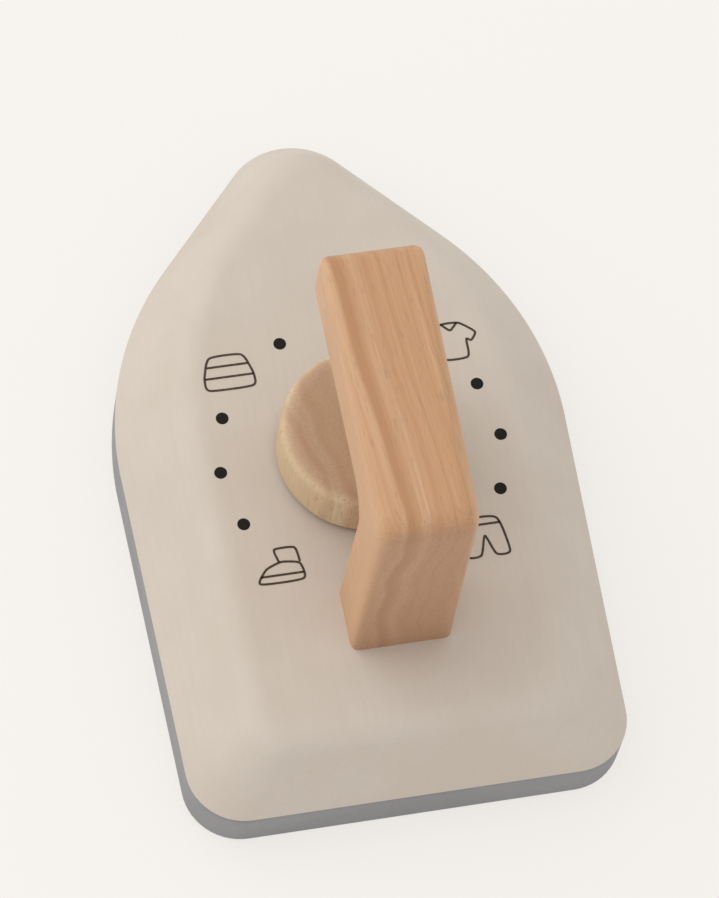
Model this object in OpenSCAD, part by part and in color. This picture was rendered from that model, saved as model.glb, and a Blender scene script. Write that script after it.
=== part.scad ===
// Wooden toy iron: painted sole plate and body, beech handle, turning dial.
// Millimetres. The origin is on the floor under the middle of the sole plate,
// +Y points to the nose, +X to the right and +Z up. Setbacks run from the heel.

/* [Sole plate] */
// Length from the straight heel to the nose
sole_l = 157; // [146:1:178]
// Width at the shoulders, the widest place
sole_w = 100; // [88:1:112]
// Width across the heel
heel_w = 97; // [84:1:112]
// Thickness of the plate
sole_t = 12; // [9:0.5:15]
// Setback of the shoulders, where the sides start to close in
shoulder_setback = 84; // [74:1:92]
// Half of the angle between the two straight flanks of the nose
nose_angle = 43; // [39:1:48]
// Radius of the heel corners
heel_r = 12.5; // [9:0.5:18]
// Radius of the nose
nose_r = 16; // [11:0.5:20]
// Round on the lower edge of the plate
sole_lower_round = 2.2; // [1:0.1:3]
// Round on the upper edge of the plate
sole_upper_round = 1.4; // [0.8:0.1:3]

/* [Body] */
// Thickness of the body block
body_t = 19; // [18:0.5:26]
// How far the bevel runs in at each side
side_inset = 13.5; // [8:0.5:18]
// How far the bevel runs in at the heel
heel_inset = 9; // [5:0.5:12]
// How far the bevel runs in at the nose
nose_inset = 11; // [5:0.5:14]
// Setback of the shoulders of the top face
top_shoulder_setback = 83; // [72:1:92]
// Radius of the heel corners of the top face
top_heel_r = 8; // [6:0.5:12]
// Radius of the nose of the top face
top_nose_r = 9.5; // [7:0.5:14]
// Reach of the soft edge over the top face
top_soft = 3.2; // [1:0.1:5]
// Round on the lower edge of the body
body_lower_round = 1.2; // [0.6:0.1:2.5]

/* [Handle] */
// Thickness of the board that the handle is cut from
handle_w = 22; // [19:0.5:26]
// Height of the handle above the body
handle_h = 59.5; // [54:0.5:70]
// Depth of the grip bar
bar_h = 16; // [13:0.5:24]
// Length of the grip bar, from the back of the leg to its free end
bar_l = 66; // [60:1:78]
// Thickness of the rear leg
leg_t = 15; // [12:0.5:18]
// Setback of the back of the leg
leg_setback = 28; // [21:1:32]
// Round on the long edges of the handle
handle_round = 2.6; // [1:0.1:3]
// Radius of the corner over the back of the leg
back_r = 6; // [3.5:0.5:8]
// Radius of the corners at the free end
end_r = 3.6; // [3.4:0.1:6]
// Radius of the inside corner between leg and bar
crook_r = 6; // [3:0.5:10]

/* [Dial] */
// Diameter of the dial
dial_d = 37.5; // [32:0.5:40]
// Thickness of the dial
dial_t = 14.5; // [11:0.5:17]
// Setback of the dial's axis
dial_setback = 73; // [67:1:77]
// Round on the upper edge of the dial
dial_upper_round = 4; // [1.5:0.5:5]
// Round on the lower edge of the dial
dial_lower_round = 1; // [0.5:0.1:2]
// Diameter of the pointer dimple
dimple_d = 3; // [2:0.5:4]
// Depth of the pointer dimple
dimple_depth = 0.8; // [0.4:0.1:1.5]
// Distance of the pointer dimple from the dial's edge
dimple_margin = 6.5; // [6:0.5:8]
// Direction of the pointer, counted from the right-hand side
pointer_angle = 45; // [0:15:345]
// Diameter of the felt washer
washer_d = 26; // [18:1:28]
// Thickness of the felt washer
washer_t = 0.8; // [0.5:0.1:1.5]

/* [Dial pin] */
// Diameter of the pin that the dial is fixed on
pin_d = 8; // [6:0.5:9]
// Depth of the pin in the dial
pin_in_dial = 9; // [6:0.5:9]
// Diameter of the pin's head
pin_head_d = 14; // [12:0.5:18]
// Height of the pin's head
pin_head_h = 3; // [2.5:0.5:5]

/* [Dowels] */
// Diameter of the two dowels under the leg
leg_dowel_d = 6; // [5:0.5:7]
// Distance between the two leg dowels
leg_dowel_pitch = 9; // [8:0.5:11]
// Depth of the leg dowels in the body
leg_dowel_in_body = 13; // [8:0.5:15]
// Depth of the leg dowels in the leg
leg_dowel_in_leg = 17; // [10:0.5:22]
// Diameter of the two dowels between plate and body
sole_dowel_d = 8; // [6:0.5:10]
// Depth of these dowels in the plate
sole_dowel_in_plate = 6; // [4:0.5:6.5]
// Depth of these dowels in the body
sole_dowel_in_body = 9; // [6:0.5:12]
// Setback of the rear one of these dowels
rear_dowel_setback = 52; // [48:1:56]
// Setback of the front one of these dowels
front_dowel_setback = 112; // [100:1:120]
// Chamfer on the ends of the pin and the dowels
dowel_chamfer = 0.8; // [0.4:0.1:1.2]

/* [Fits] */
// Radial running clearance of the pin in the body
pin_clearance = 0.08; // [0.03:0.01:0.1]
// Radial room round the pin's head
head_clearance = 0.5; // [0.3:0.1:1]
// Play of the dial over its washer, and of the pin's head above and below
dial_play = 0.3; // [0.2:0.05:0.5]
// Radial clearance of the washer round the pin
washer_clearance = 0.4; // [0.2:0.1:0.8]
// Radial glue film round the pin and the dowels
glue_film = 0.04; // [0.02:0.01:0.08]
// Glue space past the end of the pin or a dowel
glue_space = 0.5; // [0.2:0.1:1]

/* [Hidden] */
$fn = 96;

// Overrun of every cut past the face that it opens
cut = 1;
// Part of the bevel that the soft top edge takes up
soft_share = 0.13;
// Steps in the arcs of the plan outlines and of the rounded edges
heel_steps = 10;
shoulder_steps = 18;
nose_steps = 12;
corner_steps = 6;
round_steps = 5;
soft_steps = 6;

heel_y = -sole_l / 2;
nose_y = sole_l / 2;
shoulder_y = heel_y + shoulder_setback;
top_shoulder_y = heel_y + top_shoulder_setback;
body_top = sole_t + body_t;
leg_back_y = heel_y + leg_setback;
leg_front_y = leg_back_y + leg_t;
leg_mid_y = (leg_back_y + leg_front_y) / 2;
bar_end_y = leg_back_y + bar_l;
bar_top = body_top + handle_h;
bar_under = bar_top - bar_h;
dial_y = heel_y + dial_setback;
dial_under = body_top + washer_t + dial_play;
head_under = sole_t + dial_play;
head_top = head_under + pin_head_h;
pin_top = dial_under + pin_in_dial;
pointer_r = dial_d / 2 - dimple_margin;
rear_dowel_y = heel_y + rear_dowel_setback;
front_dowel_y = heel_y + front_dowel_setback;

// Lists of points, and rings of points for lofts

function mix(a, b, t) = a + (b - a) * t;
function bend(a, b, c, t) = mix(mix(a, b, t), mix(b, c, t), t);
function ring_mix(p, q, t) = [for (i = [0 : len(p) - 1]) mix(p[i], q[i], t)];
function ring_bend(p, q, r, t) = [for (i = [0 : len(p) - 1]) bend(p[i], q[i], r[i], t)];
function at_z(points, z) = [for (p = points) [p[0], p[1], z]];
function at_x(points, x) = [for (p = points) [x, p[0], p[1]]];

function arc(x, y, r, from, to, steps) = [
    for (i = [0 : steps])
        let (a = mix(from, to, i / steps))
            [x + r * cos(a), y + r * sin(a)]
];

// Half of a plan outline runs from the heel up the right-hand side to the nose.
// The shoulder radius is the one that joins the side to the straight nose flank.
function right_half(half_w, half_heel, heel, nose, shoulder, corner_r, tip_r, inset) =
    let (
        rise = sin(nose_angle) * (nose - tip_r - shoulder) + tip_r,
        shoulder_r = (rise - half_w * cos(nose_angle)) / (1 - cos(nose_angle))
    )
    concat(
        arc(half_heel - corner_r, heel + corner_r, corner_r - inset, -90, 0, heel_steps),
        arc(half_w - shoulder_r, shoulder, shoulder_r - inset, 0, nose_angle, shoulder_steps),
        arc(0, nose - tip_r, tip_r - inset, nose_angle, 90, nose_steps)
    );

function both_halves(right) = concat(
    right,
    [for (i = [len(right) - 2 : -1 : 0]) [-right[i][0], right[i][1]]]
);

function base_outline(inset) = both_halves(right_half(
    sole_w / 2, heel_w / 2, heel_y, nose_y, shoulder_y, heel_r, nose_r, inset
));

function top_outline(inset) = both_halves(right_half(
    sole_w / 2 - side_inset, heel_w / 2 - side_inset,
    heel_y + heel_inset, nose_y - nose_inset,
    top_shoulder_y, top_heel_r, top_nose_r, inset
));

// Rings of a rounded edge of the base outline, from the flat face outwards.
// dir is 1 above a lower face and -1 below an upper face.
function edge_rings(r, z, dir) = [
    for (i = [0 : round_steps])
        let (a = 90 * i / round_steps)
            at_z(base_outline(r * (1 - sin(a))), z + dir * r * (1 - cos(a)))
];

function reversed(list) = [for (i = [len(list) - 1 : -1 : 0]) list[i]];

// Solid through rings of equal length, each counter-clockwise seen from the last.
// Each end is closed by rungs between the first and second half of its ring.
module loft(rings) {
    n = len(rings[0]);
    last = (len(rings) - 1) * n;
    sides = [
        for (k = [0 : len(rings) - 2], i = [0 : n - 1])
            let (a = k * n + i, b = k * n + (i + 1) % n)
                each [[a, a + n, b + n], [a, b + n, b]]
    ];
    rungs = [
        for (i = [0 : floor(n / 2) - 1])
            let (j = n - 1 - i)
                each concat(
                    i + 1 < j ? [[i, i + 1, j]] : [],
                    i + 1 < j - 1 ? [[i + 1, j - 1, j]] : []
                )
    ];
    far_rungs = [for (t = rungs) [last + t[0], last + t[2], last + t[1]]];
    polyhedron([for (r = rings) each r], concat(rungs, sides, far_rungs), convexity = 6);
}

// Peg along Z with chamfered ends
module peg(d, z0, z1) {
    rotate_extrude()
        polygon([
            [0, z0],
            [d / 2 - dowel_chamfer, z0],
            [d / 2, z0 + dowel_chamfer],
            [d / 2, z1 - dowel_chamfer],
            [d / 2 - dowel_chamfer, z1],
            [0, z1]
        ]);
}

// Glued hole for a peg, open at z0 and closed past z1
module peg_hole(d, z0, z1) {
    dir = sign(z1 - z0);
    low = min(z0 - dir * cut, z1 + dir * glue_space);
    high = max(z0 - dir * cut, z1 + dir * glue_space);
    translate([0, 0, low])
        cylinder(h = high - low, d = d + 2 * glue_film);
}

module at_leg_dowels() {
    for (side = [-1, 1])
        translate([side * leg_dowel_pitch / 2, leg_mid_y, 0])
            children();
}

module at_sole_dowels() {
    for (y = [rear_dowel_y, front_dowel_y])
        translate([0, y, 0])
            children();
}

module sole_plate() {
    color("#a9adb0")
        difference() {
            loft(concat(
                edge_rings(sole_lower_round, 0, 1),
                reversed(edge_rings(sole_upper_round, sole_t, -1))
            ));
            at_sole_dowels()
                peg_hole(sole_dowel_d, sole_t, sole_t - sole_dowel_in_plate);
        }
}

// The bevelled block: a straight flank from the base outline to the smaller
// top outline, softened where it turns over into the flat top.
module body_shell() {
    base = at_z(base_outline(0), sole_t + body_lower_round);
    brow = at_z(top_outline(0), body_top);
    crown = at_z(top_outline(top_soft), body_top);
    flank_end = ring_mix(base, brow, 1 - soft_share);
    loft(concat(
        edge_rings(body_lower_round, sole_t, 1),
        [for (i = [0 : soft_steps]) ring_bend(flank_end, brow, crown, i / soft_steps)]
    ));
}

module body_block() {
    color("#d8cfc1")
        difference() {
            body_shell();
            at_sole_dowels()
                peg_hole(sole_dowel_d, sole_t, sole_t + sole_dowel_in_body);
            at_leg_dowels()
                peg_hole(leg_dowel_d, body_top, body_top - leg_dowel_in_body);
            translate([0, dial_y, sole_t - cut]) {
                cylinder(h = body_t + 2 * cut, d = pin_d + 2 * pin_clearance);
                cylinder(h = head_top + dial_play - sole_t + cut, d = pin_head_d + 2 * head_clearance);
            }
        }
}

// Side view of the handle in Y and Z: up the front of the leg, round the crook and
// along under the bar to its free end, then back over the top and down the back.
function handle_profile(inset) = concat(
    [[leg_front_y - inset, body_top]],
    arc(leg_front_y + crook_r, bar_under - crook_r, crook_r + inset, 180, 90, corner_steps),
    arc(bar_end_y - end_r, bar_under + end_r, end_r - inset, -90, 0, corner_steps),
    arc(bar_end_y - end_r, bar_top - end_r, end_r - inset, 0, 90, corner_steps),
    arc(leg_back_y + back_r, bar_top - back_r, back_r - inset, 90, 180, corner_steps),
    [[leg_back_y + inset, body_top]]
);

// Rings of one rounded cheek of the handle, from its flat outwards face inwards
function cheek_rings(side) = [
    for (i = [0 : round_steps])
        let (a = 90 * i / round_steps)
            at_x(
                handle_profile(handle_round * (1 - sin(a))),
                side * (handle_w / 2 - handle_round * (1 - cos(a)))
            )
];

module handle() {
    color("#cfa277")
        difference() {
            loft(concat(cheek_rings(-1), reversed(cheek_rings(1))));
            at_leg_dowels()
                peg_hole(leg_dowel_d, body_top, body_top + leg_dowel_in_leg);
        }
}

// Half section of a disc with both rims rounded
module disc_section(r, t, lower_r, upper_r) {
    polygon(concat(
        [[0, 0]],
        arc(r - lower_r, lower_r, lower_r, -90, 0, corner_steps),
        arc(r - upper_r, t - upper_r, upper_r, 0, 90, 2 * corner_steps),
        [[0, t]]
    ));
}

module dial() {
    color("#d9b98c")
        translate([0, dial_y, dial_under])
            difference() {
                rotate_extrude()
                    disc_section(dial_d / 2, dial_t, dial_lower_round, dial_upper_round);
                peg_hole(pin_d, 0, pin_in_dial);
                rotate(pointer_angle)
                    translate([pointer_r, 0, dial_t - dimple_depth])
                        cylinder(h = dimple_depth + cut, d = dimple_d);
            }
}

// Turned pin, put in from below before the plate is glued on: its shank runs in the
// body and is glued into the dial, and its head keeps the dial down.
module dial_pin() {
    color("#d3aa7f")
        translate([0, dial_y, 0])
            rotate_extrude()
                polygon([
                    [0, head_under],
                    [pin_head_d / 2 - dowel_chamfer, head_under],
                    [pin_head_d / 2, head_under + dowel_chamfer],
                    [pin_head_d / 2, head_top],
                    [pin_d / 2, head_top],
                    [pin_d / 2, pin_top - dowel_chamfer],
                    [pin_d / 2 - dowel_chamfer, pin_top],
                    [0, pin_top]
                ]);
}

module dial_washer() {
    color("#8d8378")
        translate([0, dial_y, body_top])
            difference() {
                cylinder(h = washer_t, d = washer_d);
                translate([0, 0, -cut])
                    cylinder(h = washer_t + 2 * cut, d = pin_d + 2 * washer_clearance);
            }
}

module leg_dowels() {
    color("#d9b98c")
        at_leg_dowels()
            peg(leg_dowel_d, body_top - leg_dowel_in_body, body_top + leg_dowel_in_leg);
}

module sole_dowels() {
    color("#d9b98c")
        at_sole_dowels()
            peg(sole_dowel_d, sole_t - sole_dowel_in_plate, sole_t + sole_dowel_in_body);
}

sole_plate();
body_block();
handle();
dial();
dial_pin();
dial_washer();
leg_dowels();
sole_dowels();
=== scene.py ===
import math

import bmesh
import bpy
from mathutils import Matrix, Vector

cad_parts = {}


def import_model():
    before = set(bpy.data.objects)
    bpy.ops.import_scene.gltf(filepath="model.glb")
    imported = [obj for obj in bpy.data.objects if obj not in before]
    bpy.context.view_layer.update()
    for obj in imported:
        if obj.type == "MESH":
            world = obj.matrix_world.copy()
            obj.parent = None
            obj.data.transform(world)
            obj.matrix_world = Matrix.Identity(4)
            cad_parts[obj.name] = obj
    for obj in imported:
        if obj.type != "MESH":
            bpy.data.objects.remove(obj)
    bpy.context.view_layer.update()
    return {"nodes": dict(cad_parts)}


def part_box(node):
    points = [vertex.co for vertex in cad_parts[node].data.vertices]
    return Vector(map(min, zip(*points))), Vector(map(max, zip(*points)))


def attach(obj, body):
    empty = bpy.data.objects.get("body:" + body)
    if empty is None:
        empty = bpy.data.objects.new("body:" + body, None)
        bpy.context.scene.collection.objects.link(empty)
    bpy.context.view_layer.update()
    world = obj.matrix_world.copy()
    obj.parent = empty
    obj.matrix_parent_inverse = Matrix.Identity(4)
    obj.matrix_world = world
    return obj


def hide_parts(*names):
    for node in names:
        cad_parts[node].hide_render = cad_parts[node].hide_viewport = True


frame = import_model()

# Looks of the wooden toy iron. Shapes are in millimetres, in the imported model's own frame.

MM = 0.001


def box_mm(node):
    low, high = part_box(node)
    return low / MM, high / MM


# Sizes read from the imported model

sole_low, sole_high = box_mm("sole_plate")
body_high = box_mm("body_block")[1]
handle_low, handle_high = box_mm("handle")
dial_low, dial_high = box_mm("dial")
pin_low, pin_high = box_mm("dial_pin")
leg_pegs_low, leg_pegs_high = box_mm("leg_dowels")
sole_pegs_low, sole_pegs_high = box_mm("sole_dowels")

HEEL = sole_low.y
NOSE = sole_high.y
SOLE_TOP = sole_high.z
BODY_TOP = body_high.z
HALF_W = sole_high.x
DIAL_Y = (dial_low.y + dial_high.y) / 2
DIAL_R = dial_high.x
LEG_PEG_R = (leg_pegs_high.y - leg_pegs_low.y) / 2
LEG_PEG_X = leg_pegs_high.x - LEG_PEG_R
LEG_PEG_XS = (-LEG_PEG_X, LEG_PEG_X)
LEG_PEG_Y = (leg_pegs_high.y + leg_pegs_low.y) / 2
SOLE_PEG_R = sole_pegs_high.x
SOLE_PEG_YS = (sole_pegs_low.y + SOLE_PEG_R, sole_pegs_high.y - SOLE_PEG_R)

# Plan outlines and lower edges, as in the construction

HALF_HEEL = 48.5
HEEL_TO_SHOULDER = 84
NOSE_ANGLE = 43
HEEL_R = 12.5
NOSE_R = 16
SIDE_INSET = 13.5
HEEL_INSET = 9
NOSE_INSET = 11
HEEL_TO_TOP_SHOULDER = 83
TOP_HEEL_R = 8
TOP_NOSE_R = 9.5
SOLE_LOWER_ROUND = 2.2
SOLE_UPPER_ROUND = 1.4
BODY_LOWER_ROUND = 1.2

# Soft top edge of the body, a little softer than in the construction

TOP_SOFT = 5
SOFT_SHARE = 0.2
TOP_WEAR = 0.15

# Handle, as in the construction but with its edges rounded place by place

LEG_T = 15
BAR_H = 16
BACK_R = 6
END_R = 3.6
CROOK_R = 6
BACK_ROUND = 4.8
END_ROUND = 2
CROOK_ROUND = 2.6
FOOT_ROUND = 1.8

# Dial, pin and holes, as in the construction

DIAL_UPPER_ROUND = 4
DIAL_LOWER_ROUND = 1
DIMPLE_R = 1.5
DIMPLE_DEPTH = 0.8
DIMPLE_MARGIN = 6.5
POINTER_ANGLE = 45
PIN_R = 4
PIN_HEAD_H = 3
PIN_CHAMFER = 0.8
GLUE_FILM = 0.04
GLUE_SPACE = 0.5
PIN_CLEARANCE = 0.08
HEAD_CLEARANCE = 0.5
DIAL_PLAY = 0.3

# Printed scale: three groups of dots round the dial, and four signs beside them

DOT_CIRCLE_R = 31
DOT_R = 1.4
DOT_SPACING = 24
DOT_GROUPS = (180, 90, 0)
DOT_CROWN_SHARE = 0.8
DOT_RIM_SHARE = 0.4
INK_W = 0.5
INK_T = 0.06
INK_SINK = 0.05
CORNER_SHARES = (0.14, 0.25, 0.25)
MITRE_LIMIT = 0.6
SIGN_SCALE = 1.1
SIGN_FRONT = (25, 23.4)
SIGN_REAR = (22.7, -23.2)

# Fineness of the meshes

HEEL_STEPS = 14
SHOULDER_STEPS = 26
NOSE_STEPS = 16
EDGE_STEPS = 8
SOFT_STEPS = 14
BEND_STEPS = 10
DIAL_LOWER_STEPS = 8
DIAL_UPPER_STEPS = 14
DIAL_SIDES = 160
PIN_SIDES = 96
HOLE_SIDES = 64
DOT_SIDES = 32
CUT_PAST = 1
WELD_GAP = 0.002
NORMAL_WEIGHT = 90


# Points and rings


def arc(x, y, r, start, end, steps):
    angles = [math.radians(start + (end - start) * i / steps) for i in range(steps + 1)]
    return [(x + r * math.cos(a), y + r * math.sin(a)) for a in angles]


def plan_outline(half_w, half_heel, heel, nose, shoulder, corner_r, tip_r, inset):
    """A plan outline of the iron, from the heel up the right side, round the nose and back."""
    angle = math.radians(NOSE_ANGLE)
    rise = math.sin(angle) * (nose - tip_r - shoulder) + tip_r
    shoulder_r = (rise - half_w * math.cos(angle)) / (1 - math.cos(angle))
    right = (
        arc(half_heel - corner_r, heel + corner_r, corner_r - inset, -90, 0, HEEL_STEPS)
        + arc(half_w - shoulder_r, shoulder, shoulder_r - inset, 0, NOSE_ANGLE, SHOULDER_STEPS)
        + arc(0, nose - tip_r, tip_r - inset, NOSE_ANGLE, 90, NOSE_STEPS)
    )
    return right + [(-x, y) for x, y in reversed(right[:-1])]


def base_outline(inset=0):
    return plan_outline(
        HALF_W, HALF_HEEL, HEEL, NOSE, HEEL + HEEL_TO_SHOULDER, HEEL_R, NOSE_R, inset
    )


def top_outline(inset=0):
    return plan_outline(
        HALF_W - SIDE_INSET, HALF_HEEL - SIDE_INSET, HEEL + HEEL_INSET, NOSE - NOSE_INSET,
        HEEL + HEEL_TO_TOP_SHOULDER, TOP_HEEL_R, TOP_NOSE_R, inset,
    )


def at_z(points, z):
    return [Vector((x, y, z)) for x, y in points]


def mix_rings(p, q, t):
    return [a.lerp(b, t) for a, b in zip(p, q)]


def bend_rings(p, q, r, t):
    return mix_rings(mix_rings(p, q, t), mix_rings(q, r, t), t)


def edge_rings(r, z, direction):
    """Rings of a rounded edge of the base outline, from the flat face outwards."""
    angles = [math.pi / 2 * i / EDGE_STEPS for i in range(EDGE_STEPS + 1)]
    return [
        at_z(base_outline(r * (1 - math.sin(a))), z + direction * r * (1 - math.cos(a)))
        for a in angles
    ]


def swell(count):
    """Values for a row of rings that rise from 0 to 1 and fall back to 0."""
    return [math.sin(math.pi * i / (count - 1)) for i in range(count)]


# Meshes


def new_piece(name, bm):
    """A smooth piece in metres from a bmesh in millimetres."""
    bmesh.ops.scale(bm, vec=(MM, MM, MM), verts=bm.verts)
    bmesh.ops.recalc_face_normals(bm, faces=bm.faces)
    mesh = bpy.data.meshes.new(name)
    bm.to_mesh(mesh)
    bm.free()
    mesh.shade_smooth()
    piece = bpy.data.objects.new(name, mesh)
    bpy.context.scene.collection.objects.link(piece)
    return piece


def skin(bm, rows):
    """Faces between each ring of points and the next. A ring of one point is a tip."""
    count = max(len(row) for row in rows)
    for low, high in zip(rows, rows[1:]):
        for i in range(count):
            j = (i + 1) % count
            corners = (low[i % len(low)], low[j % len(low)], high[j % len(high)], high[i % len(high)])
            bm.faces.new(list(dict.fromkeys(corners)))


def loft(name, rings, wear=None):
    """A closed solid through rings of equal length. wear marks the worn edges, ring by ring."""
    bm = bmesh.new()
    edge = bm.verts.layers.float.new("edge")
    rows = []
    for ring, value in zip(rings, wear or [0] * len(rings)):
        row = [bm.verts.new(p) for p in ring]
        for v in row:
            v[edge] = value
        rows.append(row)
    skin(bm, rows)
    count = len(rows[0])
    for row in (rows[0], rows[-1]):
        for i in range(count // 2):
            corners = [row[i], row[i + 1], row[count - 2 - i], row[count - 1 - i]]
            corners = list(dict.fromkeys(corners))
            if len(corners) > 2:
                bm.faces.new(corners)
    return new_piece(name, bm)


def lathe(name, profile, x, y, sides):
    """A turned solid about the upright line at x, y. profile runs from the axis out and back.

    It has the layer for worn edges too, because it also cuts holes in pieces that have it.
    """
    bm = bmesh.new()
    bm.verts.layers.float.new("edge")
    turns = [2 * math.pi * i / sides for i in range(sides)]
    rows = []
    for r, z in profile:
        ring = [(x + r * math.cos(a), y + r * math.sin(a), z) for a in turns] if r else [(x, y, z)]
        rows.append([bm.verts.new(p) for p in ring])
    skin(bm, rows)
    return new_piece(name, bm)


def weld(mesh):
    """Joins the points that cutting leaves doubled."""
    bm = bmesh.new()
    bm.from_mesh(mesh)
    bmesh.ops.remove_doubles(bm, verts=bm.verts, dist=WELD_GAP * MM)
    bm.to_mesh(mesh)
    bm.free()


def drill(piece, holes):
    """Cuts round holes, each given as x, y, radius and the two heights that it runs between."""
    for x, y, r, z0, z1 in holes:
        low, high = sorted((z0, z1))
        cutter = lathe("cutter", [(0, low), (r, low), (r, high), (0, high)], x, y, HOLE_SIDES)
        cut = piece.modifiers.new("cut", "BOOLEAN")
        cut.object = cutter
        cut.solver = "EXACT"
        depsgraph = bpy.context.evaluated_depsgraph_get()
        drilled = bpy.data.meshes.new_from_object(piece.evaluated_get(depsgraph))
        piece.modifiers.remove(cut)
        piece.data = drilled
        bpy.data.objects.remove(cutter)
    weld(piece.data)
    return piece


def peg_hole(x, y, r, z0, z1):
    """Glued hole for a peg, open at z0 and closed past z1."""
    way = 1 if z1 > z0 else -1
    return (x, y, r + GLUE_FILM, z0 - way * CUT_PAST, z1 + way * GLUE_SPACE)


def finish_piece(piece, body, node, material):
    """Even shading, a material, and the piece's place in the model."""
    normals = piece.modifiers.new("normals", "WEIGHTED_NORMAL")
    normals.weight = NORMAL_WEIGHT
    piece.data.materials.clear()
    piece.data.materials.append(material)
    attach(piece, body)
    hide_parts(node)


# Shader nodes

FULL = (0, 1)


def add(tree, kind, inputs=None, **settings):
    """A new node. Each input is a value, or the socket that it is linked from."""
    node = tree.nodes.new(kind)
    for key, value in settings.items():
        setattr(node, key, value)
    for key, value in (inputs or {}).items():
        if isinstance(value, bpy.types.NodeSocket):
            tree.links.new(value, node.inputs[key])
        else:
            node.inputs[key].default_value = value
    return node


def calc(tree, operation, a, b=0.0):
    return add(tree, "ShaderNodeMath", {0: a, 1: b}, operation=operation).outputs[0]


def remap(tree, value, source, target):
    """The value moved smoothly from one range to another, and held at the ends."""
    inputs = {0: value, 1: source[0], 2: source[1], 3: target[0], 4: target[1]}
    return add(tree, "ShaderNodeMapRange", inputs, interpolation_type="SMOOTHSTEP").outputs[0]


def mix_colour(tree, factor, a, b):
    return add(tree, "ShaderNodeMix", {0: factor, 6: a, 7: b}, data_type="RGBA").outputs[2]


def noise(tree, coords, scales, detail, roughness):
    """Noise stretched by one scale per axis, in cycles per metre."""
    stretched = add(tree, "ShaderNodeMapping", {"Vector": coords, "Scale": scales}).outputs[0]
    inputs = {"Vector": stretched, "Scale": 1.0, "Detail": detail, "Roughness": roughness}
    return add(tree, "ShaderNodeTexNoise", inputs).outputs[0]


def ramp(tree, value, places, shades):
    node = add(tree, "ShaderNodeValToRGB", {0: value})
    node.color_ramp.interpolation = "EASE"
    elements = node.color_ramp.elements
    while len(elements) < len(shades):
        elements.new(1.0)
    for element, place, shade in zip(elements, places, shades):
        element.position = place
        element.color = shade
    return node.outputs[0]


def linear(red, green, blue):
    """A colour written in display values from 0 to 255, by the sRGB curve."""
    parts = [c / 255 for c in (red, green, blue)]
    return tuple(
        c / 12.92 if c <= 0.04045 else ((c + 0.055) / 1.055) ** 2.4 for c in parts
    ) + (1.0,)


def new_material(name):
    material = bpy.data.materials.new(name)
    material.use_nodes = True
    tree = material.node_tree
    shader = tree.nodes["Principled BSDF"]
    coords = add(tree, "ShaderNodeTexCoord")
    return material, tree, shader, coords


def set_bump(tree, shader, height, distance, strength):
    inputs = {"Height": height, "Distance": distance, "Strength": strength}
    bump = add(tree, "ShaderNodeBump", inputs)
    tree.links.new(bump.outputs[0], shader.inputs["Normal"])


# Satin paint

CLOUD_SCALES = (45, 45, 45)
CLOUD_RANGE = (0.3, 0.7)
GRAIN_SCALES = (900, 60, 900)
GRAIN_RANGE = (0.35, 0.75)
GRAIN_SHOWS = (0, 0.2)
GRAIN_HEIGHT = 0.6
PEEL_SCALES = (1500, 1500, 1500)
PEEL_HEIGHT = 0.4
PATCH_SCALES = (160, 160, 160)
PATCH_RANGE = (0.35, 0.7)
PATCH_SHOWS = (0.1, 0.4)
PAINT_ROUGHNESS = (0.46, 0.56)


def paint(name, coats, worn_coat):
    """Satin paint on wood: faint cloudiness, grain that shows through, and thin paint on edges."""
    material, tree, shader, coords = new_material(name)
    place = coords.outputs["Object"]
    clouds = noise(tree, place, CLOUD_SCALES, detail=3, roughness=0.55)
    grain = noise(tree, place, GRAIN_SCALES, detail=3, roughness=0.6)
    peel = noise(tree, place, PEEL_SCALES, detail=2, roughness=0.5)
    patches = noise(tree, place, PATCH_SCALES, detail=4, roughness=0.7)
    edge = add(tree, "ShaderNodeAttribute", attribute_name="edge").outputs["Fac"]
    worn = calc(tree, "MULTIPLY", edge, remap(tree, patches, PATCH_RANGE, PATCH_SHOWS))

    shade = mix_colour(tree, remap(tree, clouds, CLOUD_RANGE, FULL), coats[0], coats[1])
    shade = mix_colour(tree, remap(tree, grain, GRAIN_RANGE, GRAIN_SHOWS), shade, coats[2])
    shade = mix_colour(tree, worn, shade, worn_coat)
    tree.links.new(shade, shader.inputs["Base Color"])
    rough = remap(tree, clouds, CLOUD_RANGE, PAINT_ROUGHNESS)
    tree.links.new(rough, shader.inputs["Roughness"])
    grain_height = calc(tree, "MULTIPLY", grain, GRAIN_HEIGHT)
    peel_height = calc(tree, "MULTIPLY", peel, PEEL_HEIGHT)
    height = calc(tree, "ADD", grain_height, peel_height)
    set_bump(tree, shader, height, distance=0.00012, strength=0.35)
    return material


# Beech, with scales across and along its fibres

DRIFT_SCALES = (60, 14)
RING_SCALES = (1, 0.03)
RING_SWAY = 0.009
RINGS_PER_M = 330.0
RING_PLACES = (0.25, 0.5, 0.78)
FIBRE_SCALES = (1500, 22)
FIBRE_RANGE = (0.3, 0.75)
FIBRE_SHOWS = (0, 0.55)
FIBRE_HEIGHT = 0.5
FLECK_SCALES = (2300, 260)
FLECK_RANGE = (0.62, 0.7)
FLECK_SHOWS = 0.4
FLECK_HEIGHT = 0.3
FACING_RANGE = (0.45, 0.95)
# Share of the painted light and shade on faces square to X
X_FACE_LIGHT_SHARE = 0.4
LACQUER_RANGE = (0.2, 0.8)
SMOOTHER = 0.05
ROUGHER = 0.08
ALONG_X = (1, 0, 0)
ALONG_Y = (0, 1, 0)
ALONG_Z = (0, 0, 1)


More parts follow.
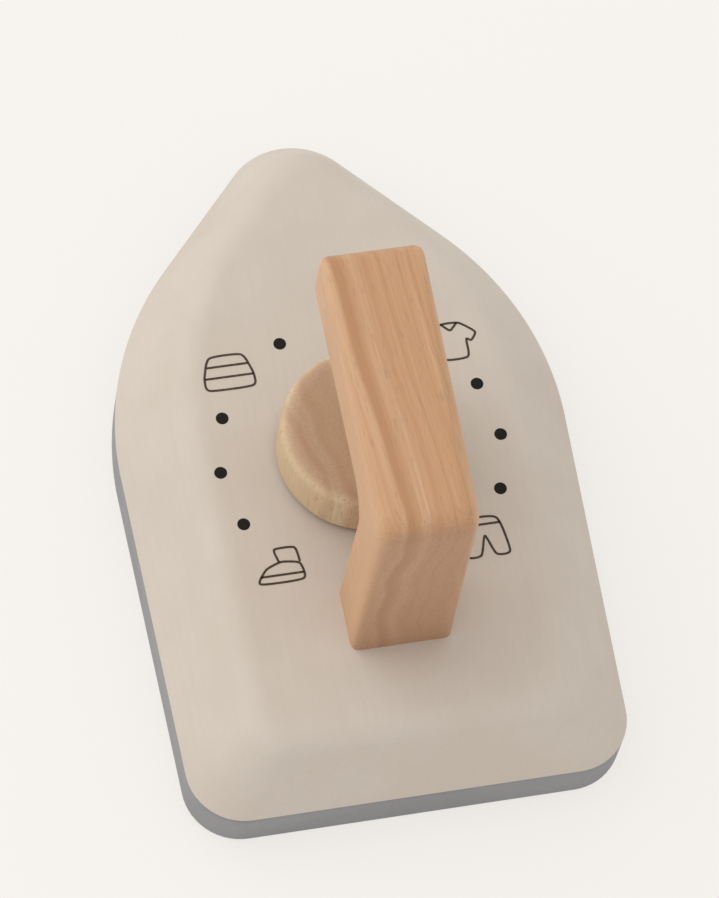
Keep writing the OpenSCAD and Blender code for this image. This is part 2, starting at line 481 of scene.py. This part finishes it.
def beech(name, along, lean, pith, shades, end_shade, end_share, x_face_light_and_shade, roughness):
    """Lacquered beech: rings about a far pith, fine fibres along one axis, short dark flecks.

    Faces across the fibres are darker. Faces square to X get a tint that is painted light and shade,
    for how the lamp falls on those sides.
    """
    material, tree, shader, coords = new_material(name)
    inputs = {"Vector": coords.outputs["Object"], "Rotation": (0, 0, math.radians(lean))}
    place = add(tree, "ShaderNodeMapping", inputs).outputs[0]

    def by_axis(scales):
        return tuple(scales[1] if a else scales[0] for a in along)

    def face_share(axis, most):
        inputs = {0: coords.outputs["Normal"], 1: axis}
        facing = add(tree, "ShaderNodeVectorMath", inputs, operation="DOT_PRODUCT").outputs["Value"]
        return remap(tree, calc(tree, "ABSOLUTE", facing), FACING_RANGE, (0, most))

    def rings():
        drift = noise(tree, place, by_axis(DRIFT_SCALES), detail=2, roughness=0.5)
        inputs = {"Vector": place, "Location": [-p for p in pith], "Scale": by_axis(RING_SCALES)}
        squeezed = add(tree, "ShaderNodeMapping", inputs).outputs[0]
        reach = add(tree, "ShaderNodeVectorMath", {0: squeezed}, operation="LENGTH").outputs["Value"]
        reach = calc(tree, "ADD", reach, calc(tree, "MULTIPLY", drift, RING_SWAY))
        count = calc(tree, "MULTIPLY", reach, RINGS_PER_M)
        inputs = {"W": count, "Scale": 1.0, "Detail": 3.0, "Roughness": 0.55}
        return add(tree, "ShaderNodeTexNoise", inputs, noise_dimensions="1D").outputs[0]

    fibres = noise(tree, place, by_axis(FIBRE_SCALES), detail=3, roughness=0.6)
    flecks = noise(tree, place, by_axis(FLECK_SCALES), detail=1, roughness=0.4)
    fleck = remap(tree, flecks, FLECK_RANGE, FULL)

    shade = ramp(tree, rings(), RING_PLACES, shades)
    shade = mix_colour(tree, remap(tree, fibres, FIBRE_RANGE, FIBRE_SHOWS), shade, shades[0])
    shade = mix_colour(tree, calc(tree, "MULTIPLY", fleck, FLECK_SHOWS), shade, end_shade)
    # Painted light and shade: faces square to X are tinted for how the lamp falls on them.
    shade = mix_colour(tree, face_share(ALONG_X, X_FACE_LIGHT_SHARE), shade, x_face_light_and_shade)
    shade = mix_colour(tree, face_share(along, end_share), shade, end_shade)
    tree.links.new(shade, shader.inputs["Base Color"])
    rough = remap(tree, fibres, LACQUER_RANGE, (roughness - SMOOTHER, roughness + ROUGHER))
    tree.links.new(rough, shader.inputs["Roughness"])
    fibre_height = calc(tree, "MULTIPLY", fibres, FIBRE_HEIGHT)
    fleck_depth = calc(tree, "MULTIPLY", fleck, FLECK_HEIGHT)
    height = calc(tree, "SUBTRACT", fibre_height, fleck_depth)
    set_bump(tree, shader, height, distance=0.0001, strength=0.4)
    return material


# Felt and ink

FELT_SCALES = (2200, 2200, 900)
FELT_RANGE = (0.3, 0.7)
FELT_ROUGHNESS = 0.95
FELT_SHEEN = 0.3
INK_SCALES = (1300, 1300, 1300)
INK_RANGE = (0.4, 0.75)
INK_GLOSS_RANGE = (0.3, 0.7)
INK_ROUGHNESS = (0.55, 0.7)
INK_SPECULAR = 0.2


def felt(name, dark, light):
    material, tree, shader, coords = new_material(name)
    hairs = noise(tree, coords.outputs["Object"], FELT_SCALES, detail=5, roughness=0.75)
    shade = mix_colour(tree, remap(tree, hairs, FELT_RANGE, FULL), dark, light)
    tree.links.new(shade, shader.inputs["Base Color"])
    shader.inputs["Roughness"].default_value = FELT_ROUGHNESS
    shader.inputs["Sheen Weight"].default_value = FELT_SHEEN
    set_bump(tree, shader, hairs, distance=0.0003, strength=0.8)
    return material


def ink(name, dark, light):
    material, tree, shader, coords = new_material(name)
    cover = noise(tree, coords.outputs["Object"], INK_SCALES, detail=4, roughness=0.65)
    shade = mix_colour(tree, remap(tree, cover, INK_RANGE, FULL), dark, light)
    tree.links.new(shade, shader.inputs["Base Color"])
    rough = remap(tree, cover, INK_GLOSS_RANGE, INK_ROUGHNESS)
    tree.links.new(rough, shader.inputs["Roughness"])
    shader.inputs["Specular IOR Level"].default_value = INK_SPECULAR
    set_bump(tree, shader, cover, distance=0.00003, strength=0.5)
    return material


# The part's materials

cream_paint = paint(
    "cream_paint",
    coats=(linear(213, 203, 191), linear(209, 198, 185), linear(203, 192, 178)),
    worn_coat=linear(219, 210, 199),
)
grey_paint = paint(
    "grey_paint",
    coats=(linear(150, 151, 154), linear(145, 146, 149), linear(138, 139, 142)),
    worn_coat=linear(164, 164, 166),
)
handle_beech = beech(
    "handle_beech",
    along=ALONG_Y,
    lean=-3.7,
    pith=(0.2605, 0, 0.06),
    shades=(linear(188, 139, 97), linear(205, 159, 118), linear(218, 176, 138)),
    end_shade=linear(170, 131, 109),
    end_share=0.45,
    # The tint on faces square to X is a painted highlight on the cheeks that face the lamp.
    x_face_light_and_shade=linear(220, 181, 147),
    roughness=0.46,
)
dial_beech = beech(
    "dial_beech",
    along=ALONG_Z,
    lean=0,
    pith=(0.2, 0.03, 0),
    shades=(linear(206, 177, 140), linear(219, 194, 159), linear(226, 206, 172)),
    end_shade=linear(163, 116, 87),
    end_share=0.6,
    # The tint on faces square to X is painted shade on the dial's sides.
    x_face_light_and_shade=linear(208, 180, 143),
    roughness=0.5,
)
dowel_beech = beech(
    "dowel_beech",
    along=ALONG_Z,
    lean=0,
    pith=(0.05, -0.02, 0),
    shades=(linear(204, 166, 124), linear(220, 188, 148), linear(228, 200, 164)),
    end_shade=linear(184, 144, 104),
    end_share=0.6,
    # The tint on faces square to X is painted light.
    x_face_light_and_shade=linear(224, 194, 156),
    roughness=0.6,
)
washer_felt = felt("washer_felt", dark=linear(120, 110, 100), light=linear(152, 142, 130))
dot_ink = ink("dot_ink", dark=linear(20, 16, 14), light=linear(30, 25, 21))
sign_ink = ink("sign_ink", dark=linear(70, 60, 52), light=linear(92, 80, 70))


# Sole plate and body


def sole_plate():
    lower = edge_rings(SOLE_LOWER_ROUND, 0, 1)
    upper = edge_rings(SOLE_UPPER_ROUND, SOLE_TOP, -1)[::-1]
    piece = loft("sole", lower + upper, [0] * len(lower) + swell(len(upper)))
    holes = [peg_hole(0, y, SOLE_PEG_R, SOLE_TOP, sole_pegs_low.z) for y in SOLE_PEG_YS]
    return drill(piece, holes)


def body_block():
    base = at_z(base_outline(), SOLE_TOP + BODY_LOWER_ROUND)
    brow = at_z(top_outline(), BODY_TOP)
    crown = at_z(top_outline(TOP_SOFT), BODY_TOP)
    flank_end = mix_rings(base, brow, 1 - SOFT_SHARE)
    lower = edge_rings(BODY_LOWER_ROUND, SOLE_TOP, 1)
    soft = [bend_rings(flank_end, brow, crown, i / SOFT_STEPS) for i in range(SOFT_STEPS + 1)]
    soft_wear = [TOP_WEAR * value for value in swell(len(soft))]
    piece = loft("body", lower + soft, swell(len(lower)) + soft_wear)
    holes = [peg_hole(0, y, SOLE_PEG_R, SOLE_TOP, sole_pegs_high.z) for y in SOLE_PEG_YS]
    holes += [peg_hole(x, LEG_PEG_Y, LEG_PEG_R, BODY_TOP, leg_pegs_low.z) for x in LEG_PEG_XS]
    holes.append((0, DIAL_Y, PIN_R + PIN_CLEARANCE, SOLE_TOP - CUT_PAST, BODY_TOP + CUT_PAST))
    hollow_top = pin_low.z + PIN_HEAD_H + DIAL_PLAY
    holes.append((0, DIAL_Y, pin_high.x + HEAD_CLEARANCE, SOLE_TOP - CUT_PAST, hollow_top))
    return drill(piece, holes)


# Handle


def handle_profile():
    """Side view in Y and Z: up the front of the leg, along under the bar, back over the top.

    Each point has its outward direction and the rounding of the handle's edges there.
    """
    leg_back, bar_end = handle_low.y, handle_high.y
    leg_front = leg_back + LEG_T
    bar_top, foot = handle_high.z, handle_low.z
    bar_under = bar_top - BAR_H

    def bend(y, z, r, start, end, edge_round, way=1):
        turns = [math.radians(start + (end - start) * i / BEND_STEPS) for i in range(BEND_STEPS + 1)]
        rim = [Vector((math.cos(a), math.sin(a))) for a in turns]
        return [(Vector((y, z)) + r * d, way * d, edge_round) for d in rim]

    return (
        [(Vector((leg_front, foot)), Vector((1, 0)), FOOT_ROUND)]
        + bend(leg_front + CROOK_R, bar_under - CROOK_R, CROOK_R, 180, 90, CROOK_ROUND, -1)
        + bend(bar_end - END_R, bar_under + END_R, END_R, -90, 0, END_ROUND)
        + bend(bar_end - END_R, bar_top - END_R, END_R, 0, 90, END_ROUND)
        + bend(leg_back + BACK_R, bar_top - BACK_R, BACK_R, 90, 180, BACK_ROUND)
        + [(Vector((leg_back, foot)), Vector((-1, 0)), FOOT_ROUND)]
    )


def handle_cheek(side):
    """Rings of one cheek's rounded edge, from its flat face outwards."""
    rings = []
    for i in range(EDGE_STEPS + 1):
        a = math.pi / 2 * i / EDGE_STEPS
        ring = []
        for point, outward, edge_round in handle_profile():
            p = point - outward * edge_round * (1 - math.sin(a))
            x = side * (handle_high.x - edge_round * (1 - math.cos(a)))
            ring.append(Vector((x, p.x, p.y)))
        rings.append(ring)
    return rings


def handle():
    piece = loft("grip", handle_cheek(-1) + handle_cheek(1)[::-1])
    holes = [peg_hole(x, LEG_PEG_Y, LEG_PEG_R, BODY_TOP, leg_pegs_high.z) for x in LEG_PEG_XS]
    return drill(piece, holes)


# Dial and its pin


def dial():
    low, high = dial_low.z, dial_high.z
    lower_r, upper_r = DIAL_LOWER_ROUND, DIAL_UPPER_ROUND
    profile = [(0, low), (DIAL_R / 2, low)]
    profile += arc(DIAL_R - lower_r, low + lower_r, lower_r, -90, 0, DIAL_LOWER_STEPS)
    profile += arc(DIAL_R - upper_r, high - upper_r, upper_r, 0, 90, DIAL_UPPER_STEPS)
    profile += [(DIAL_R / 2, high), (0, high)]
    piece = lathe("knob", profile, 0, DIAL_Y, DIAL_SIDES)
    angle = math.radians(POINTER_ANGLE)
    pointer_r = DIAL_R - DIMPLE_MARGIN
    pointer = (
        pointer_r * math.cos(angle), DIAL_Y + pointer_r * math.sin(angle), DIMPLE_R,
        high - DIMPLE_DEPTH, high + CUT_PAST,
    )
    return drill(piece, [peg_hole(0, DIAL_Y, PIN_R, low, pin_high.z), pointer])


def dial_pin():
    low, high = pin_low.z, pin_high.z
    head_r, head_top = pin_high.x, low + PIN_HEAD_H
    profile = [(0, low), (head_r - PIN_CHAMFER, low), (head_r, low + PIN_CHAMFER)]
    profile += [(head_r, head_top), (PIN_R, head_top), (PIN_R, high - PIN_CHAMFER)]
    profile += [(PIN_R - PIN_CHAMFER, high), (0, high)]
    return lathe("knob_pin", profile, 0, DIAL_Y, PIN_SIDES)


# Printed dots and signs

INK_LOW = BODY_TOP - INK_SINK
INK_HIGH = BODY_TOP + INK_T


def scale_dots():
    profile = (
        (DOT_R, INK_LOW),
        (DOT_R, BODY_TOP + INK_T * DOT_RIM_SHARE),
        (DOT_R * DOT_CROWN_SHARE, INK_HIGH),
    )
    bm = bmesh.new()
    for group in DOT_GROUPS:
        for turn in (-DOT_SPACING, 0, DOT_SPACING):
            a = math.radians(group + turn)
            centre = Vector((DOT_CIRCLE_R * math.cos(a), DIAL_Y + DOT_CIRCLE_R * math.sin(a)))
            rows = []
            for r, z in profile:
                ring = arc(centre.x, centre.y, r, 0, 360, DOT_SIDES)[:-1]
                rows.append([bm.verts.new((x, y, z)) for x, y in ring])
            skin(bm, rows)
            bm.faces.new(rows[-1])
            bm.faces.new(rows[0][::-1])
    return new_piece("scale_dots", bm)


def rounded(points, closed):
    """The line with its corners cut three times, so that it bends softly there."""
    for share in CORNER_SHARES:
        count = len(points)
        pairs = [(points[i], points[(i + 1) % count]) for i in range(count if closed else count - 1)]
        cut = [p.lerp(q, t) for p, q in pairs for t in (share, 1 - share)]
        points = cut if closed else [points[0]] + cut[1:-1] + [points[-1]]
    return points


def add_stroke(bm, points, closed):
    """One inked line of even width on the top of the body."""
    path = rounded([Vector(p) for p in points], closed)
    count = len(path)
    rows = []
    for i, p in enumerate(path):
        before = path[i - 1] if closed or i else None
        after = path[(i + 1) % count] if closed or i < count - 1 else None
        d0 = (p - before).normalized() if before is not None else (after - p).normalized()
        d1 = (after - p).normalized() if after is not None else d0
        n0, n1 = Vector((-d0.y, d0.x)), Vector((-d1.y, d1.x))
        normal = (n0 + n1).normalized()
        half = INK_W / 2 / max(MITRE_LIMIT, normal.dot(n0))
        left, right = p + normal * half, p - normal * half
        section = ((left, INK_LOW), (left, INK_HIGH), (right, INK_HIGH), (right, INK_LOW))
        rows.append([bm.verts.new((q.x, q.y, z)) for q, z in section])
    for i in range(count if closed else count - 1):
        here, there = rows[i], rows[(i + 1) % count]
        for k in range(len(here)):
            n = (k + 1) % len(here)
            bm.faces.new((here[k], there[k], there[n], here[n]))
    if not closed:
        bm.faces.new(rows[0])
        bm.faces.new(rows[-1][::-1])


# Each sign is a list of lines, closed or open, about its own middle

SIGNS = {
    "sign_iron": [
        (True, [(-5, -3.6), (5, -3.6), (4.4, 0.2), (0.6, 0.8), (-2.6, -0.4)]),
        (False, [(0.2, 0.7), (-0.6, 3.6), (4, 3.6), (4.3, 0.3)]),
        (False, [(-3.9, -2), (4.7, -2)]),
    ],
    "sign_shirt": [
        (True, [
            (-2, 4), (2, 4), (5.2, 1.4), (3.8, -0.4), (2.8, 0.4),
            (2.8, -4), (-2.8, -4), (-2.8, 0.4), (-3.8, -0.4), (-5.2, 1.4),
        ]),
        (False, [(-1.6, 3.9), (0, 2.2), (1.6, 3.9)]),
    ],
    "sign_towel": [
        (True, [(-5, -3.8), (5, -3.8), (5, -1), (3.6, 3.6), (-3.6, 3.6), (-5, -1)]),
        (False, [(-4.9, -1.1), (4.9, -1.1)]),
        (False, [(-4.2, 1.3), (4.2, 1.3)]),
    ],
    "sign_trousers": [
        (True, [
            (-3.4, 4.2), (3.4, 4.2), (4.6, -4.2), (1.4, -4.2), (0, 0.8), (-1.4, -4.2), (-4.6, -4.2),
        ]),
        (False, [(-3.6, 2.6), (3.6, 2.6)]),
    ],
}
SIGN_PLACES = {
    "sign_towel": (-SIGN_FRONT[0], SIGN_FRONT[1]),
    "sign_shirt": SIGN_FRONT,
    "sign_iron": (-SIGN_REAR[0], SIGN_REAR[1]),
    "sign_trousers": SIGN_REAR,
}


def sign(name):
    x, y = SIGN_PLACES[name]
    bm = bmesh.new()
    for closed, points in SIGNS[name]:
        placed = [(x + SIGN_SCALE * px, DIAL_Y + y + SIGN_SCALE * py) for px, py in points]
        add_stroke(bm, placed, closed)
    return new_piece(name, bm)


# The pieces in their places

finish_piece(sole_plate(), "iron", "sole_plate", grey_paint)
finish_piece(body_block(), "iron", "body_block", cream_paint)
finish_piece(handle(), "iron", "handle", handle_beech)
finish_piece(dial(), "dial", "dial", dial_beech)
finish_piece(dial_pin(), "dial", "dial_pin", dial_beech)

for printed, material in [(scale_dots(), dot_ink)] + [(sign(name), sign_ink) for name in SIGNS]:
    printed.data.materials.append(material)
    printed.data.shade_flat()
    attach(printed, "iron")

for node, material in (
    ("dial_washer", washer_felt),
    ("leg_dowels", dowel_beech),
    ("sole_dowels", dowel_beech),
):
    frame["nodes"][node].data.materials.clear()
    frame["nodes"][node].data.materials.append(material)


# Floor and light, in metres

PAPER = linear(248, 245, 240)
PAPER_STRENGTH = 1.0
FLOOR_SIZE = 8.0
FLOOR_GLOW = 0.78
KEY_PLACE = Vector((-0.58, 0.42, 0.73))
KEY_SIZE = 1.0
KEY_POWER = 3.5
FILL_STRENGTH = 0.75
FILL_COLOUR = (1.0, 0.985, 0.965, 1.0)


def floor():
    """Pale paper that keeps the object's shadow, partly washed out to the camera."""
    bm = bmesh.new()
    half = FLOOR_SIZE / MM / 2
    corners = ((-half, -half), (half, -half), (half, half), (-half, half))
    bm.faces.new([bm.verts.new((x, y, 0)) for x, y in corners])
    piece = new_piece("floor", bm)
    material = bpy.data.materials.new("paper")
    material.use_nodes = True
    tree = material.node_tree
    tree.nodes.remove(tree.nodes["Principled BSDF"])
    lit = add(tree, "ShaderNodeBsdfDiffuse", {"Color": PAPER}).outputs[0]
    plain = add(tree, "ShaderNodeEmission", {"Color": PAPER}).outputs[0]
    path = add(tree, "ShaderNodeLightPath")
    seen = calc(tree, "MULTIPLY", path.outputs["Is Camera Ray"], FLOOR_GLOW)
    mixed = add(tree, "ShaderNodeMixShader", {0: seen, 1: lit, 2: plain}).outputs[0]
    tree.links.new(mixed, tree.nodes["Material Output"].inputs["Surface"])
    piece.data.materials.append(material)


def world():
    """Even fill light, with the paper's colour where the camera or a reflection sees it."""
    made = bpy.data.worlds.new("studio")
    made.use_nodes = True
    tree = made.node_tree
    path = add(tree, "ShaderNodeLightPath")
    background = tree.nodes["Background"]
    seen = calc(tree, "MAXIMUM", path.outputs["Is Camera Ray"], path.outputs["Is Glossy Ray"])
    inputs = {"Color": FILL_COLOUR, "Strength": FILL_STRENGTH}
    fill = add(tree, "ShaderNodeBackground", inputs).outputs[0]
    background.inputs["Color"].default_value = PAPER
    background.inputs["Strength"].default_value = PAPER_STRENGTH
    mixed = add(tree, "ShaderNodeMixShader", {0: seen, 1: fill, 2: background.outputs[0]}).outputs[0]
    tree.links.new(mixed, tree.nodes["World Output"].inputs["Surface"])
    bpy.context.scene.world = made


def key_light():
    lamp = bpy.data.lights.new("key", "AREA")
    lamp.energy = KEY_POWER
    lamp.size = KEY_SIZE
    holder = bpy.data.objects.new("key", lamp)
    holder.location = KEY_PLACE
    holder.visible_camera = False
    holder.rotation_euler = (-KEY_PLACE).to_track_quat("-Z", "Y").to_euler()
    bpy.context.scene.collection.objects.link(holder)


# The photograph's viewpoint, aimed at the iron with a longer lens

EYE = Vector((-0.2035, -0.463, 1.106))
PHOTO_RIGHT = Vector((0.989, -0.148, 0))
AIM = Vector((0.0, -0.004, 0.03))
LENS = 220.0
SENSOR_W = 36


def camera():
    look = (AIM - EYE).normalized()
    right = (PHOTO_RIGHT - look * PHOTO_RIGHT.dot(look)).normalized()
    up = right.cross(look)
    turn = Matrix((right, up, -look)).transposed().to_4x4()
    lens = bpy.data.cameras.new("camera")
    lens.lens = LENS
    lens.sensor_width = SENSOR_W
    holder = bpy.data.objects.new("camera", lens)
    holder.matrix_world = Matrix.Translation(EYE) @ turn
    bpy.context.scene.collection.objects.link(holder)
    bpy.context.scene.camera = holder


floor()
world()
key_light()
camera()
bpy.context.scene.view_settings.view_transform = "Standard"
